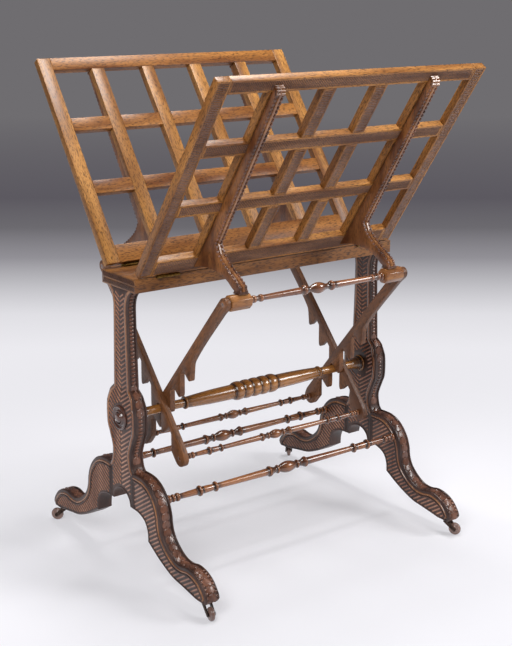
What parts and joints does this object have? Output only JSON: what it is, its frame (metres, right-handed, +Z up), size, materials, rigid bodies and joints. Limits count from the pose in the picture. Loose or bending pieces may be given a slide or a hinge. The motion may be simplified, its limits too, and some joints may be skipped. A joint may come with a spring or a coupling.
{
  "type": "atlas stand",
  "caption": "Folio stand on castors: lattice panels hinge from a tray between carved end standards, propped by toothed frames on a turned ratchet bar.",
  "frame": {"origin": "on the floor, under the middle of the stand", "axes": "+X along the stand to its right end, +Y towards the rear panel, +Z up"},
  "size_m": [0.7789, 0.7698, 1.1586],
  "materials": {
    "golden_wood": "polished golden-brown hardwood",
    "carved_wood": "dark polished hardwood, carved",
    "turned_wood": "polished turned hardwood",
    "brass": "aged brass",
    "iron": "dark metal",
    "china": "glazed brown china"
  },
  "bodies": {
    "stand": {"column_left": "carved_wood", "column_right": "carved_wood", "leg_front_left": "carved_wood", "leg_front_right": "carved_wood", "leg_rear_left": "carved_wood", "leg_rear_right": "carved_wood", "tray": "golden_wood", "ratchet_bar": "turned_wood", "boss_left": "turned_wood", "boss_right": "turned_wood", "stretcher_front": "turned_wood", "stretcher_rear": "turned_wood", "hinge_tray_leaf_front_left": "brass", "hinge_tray_leaf_front_right": "brass", "hinge_tray_leaf_rear_left": "brass", "hinge_tray_leaf_rear_right": "brass"},
    "front_panel": {"stile_front_left": "golden_wood", "stile_front_right": "golden_wood", "top_rail_front": "golden_wood", "bottom_rail_front": "golden_wood", "upright_bar_front_1": "golden_wood", "upright_bar_front_2": "golden_wood", "upright_bar_front_3": "golden_wood", "upright_bar_front_4": "golden_wood", "cross_bar_front_1": "golden_wood", "cross_bar_front_2": "golden_wood", "arm_front_left": "carved_wood", "arm_front_right": "carved_wood", "yoke_rod_front": "turned_wood", "hinge_panel_leaf_front_left": "brass", "hinge_panel_leaf_front_right": "brass"},
    "front_ratchet": {"strut_front_left": "golden_wood", "strut_front_right": "golden_wood", "foot_rod_front": "turned_wood"},
    "rear_panel": {"stile_rear_left": "golden_wood", "stile_rear_right": "golden_wood", "top_rail_rear": "golden_wood", "bottom_rail_rear": "golden_wood", "upright_bar_rear_1": "golden_wood", "upright_bar_rear_2": "golden_wood", "upright_bar_rear_3": "golden_wood", "upright_bar_rear_4": "golden_wood", "cross_bar_rear_1": "golden_wood", "cross_bar_rear_2": "golden_wood", "arm_rear_left": "carved_wood", "arm_rear_right": "carved_wood", "yoke_rod_rear": "turned_wood", "hinge_panel_leaf_rear_left": "brass", "hinge_panel_leaf_rear_right": "brass"},
    "rear_ratchet": {"strut_rear_left": "golden_wood", "strut_rear_right": "golden_wood", "foot_rod_rear": "turned_wood"},
    "castor_front_left": {"castor_horn_front_left": "iron"},
    "wheel_front_left": {"castor_wheel_front_left": "china"},
    "castor_front_right": {"castor_horn_front_right": "iron"},
    "wheel_front_right": {"castor_wheel_front_right": "china"},
    "castor_rear_left": {"castor_horn_rear_left": "iron"},
    "wheel_rear_left": {"castor_wheel_rear_left": "china"},
    "castor_rear_right": {"castor_horn_rear_right": "iron"},
    "wheel_rear_right": {"castor_wheel_rear_right": "china"}
  },
  "joints": [
    {"name": "front_panel_hinge", "type": "hinge", "parent": "stand", "child": "front_panel", "pos_m": [0, -0.0758, 0.70025], "axis": [-1, 0, 0], "range_deg": [0, 35]},
    {"name": "front_ratchet_swing", "type": "hinge", "parent": "front_panel", "child": "front_ratchet", "pos_m": [0, -0.2439, 0.66312], "axis": [1, 0, 0], "range_deg": [0, 37.5]},
    {"name": "rear_panel_hinge", "type": "hinge", "parent": "stand", "child": "rear_panel", "pos_m": [0, 0.0758, 0.70025], "axis": [1, 0, 0], "range_deg": [0, 35]},
    {"name": "rear_ratchet_swing", "type": "hinge", "parent": "rear_panel", "child": "rear_ratchet", "pos_m": [0, 0.2439, 0.66312], "axis": [-1, 0, 0], "range_deg": [0, 37.5]},
    {"name": "front_left_swivel", "type": "hinge", "parent": "stand", "child": "castor_front_left", "pos_m": [-0.361, -0.318, 0.04], "axis": [0, 0, 1], "continuous": true},
    {"name": "front_left_roll", "type": "hinge", "parent": "castor_front_left", "child": "wheel_front_left", "pos_m": [-0.36413, -0.33775, 0.0155], "axis": [-0.9877, 0.1564, 0], "continuous": true},
    {"name": "front_right_swivel", "type": "hinge", "parent": "stand", "child": "castor_front_right", "pos_m": [0.361, -0.318, 0.04], "axis": [0, 0, 1], "continuous": true},
    {"name": "front_right_roll", "type": "hinge", "parent": "castor_front_right", "child": "wheel_front_right", "pos_m": [0.36945, -0.33613, 0.0155], "axis": [-0.9063, -0.4226, 0], "continuous": true},
    {"name": "rear_left_swivel", "type": "hinge", "parent": "stand", "child": "castor_rear_left", "pos_m": [-0.361, 0.318, 0.04], "axis": [0, 0, 1], "continuous": true},
    {"name": "rear_left_roll", "type": "hinge", "parent": "castor_rear_left", "child": "wheel_rear_left", "pos_m": [-0.37563, 0.33164, 0.0155], "axis": [0.682, 0.7314, 0], "continuous": true},
    {"name": "rear_right_swivel", "type": "hinge", "parent": "stand", "child": "castor_rear_right", "pos_m": [0.361, 0.318, 0.04], "axis": [0, 0, 1], "continuous": true},
    {"name": "rear_right_roll", "type": "hinge", "parent": "castor_rear_right", "child": "wheel_rear_right", "pos_m": [0.37247, 0.33438, 0.0155], "axis": [0.8192, -0.5736, 0], "continuous": true}
  ],
  "couplings": [
    {"joint": "front_ratchet_swing", "follows": "front_panel_hinge", "ratio": 1.06},
    {"joint": "rear_ratchet_swing", "follows": "rear_panel_hinge", "ratio": 1.06}
  ]
}
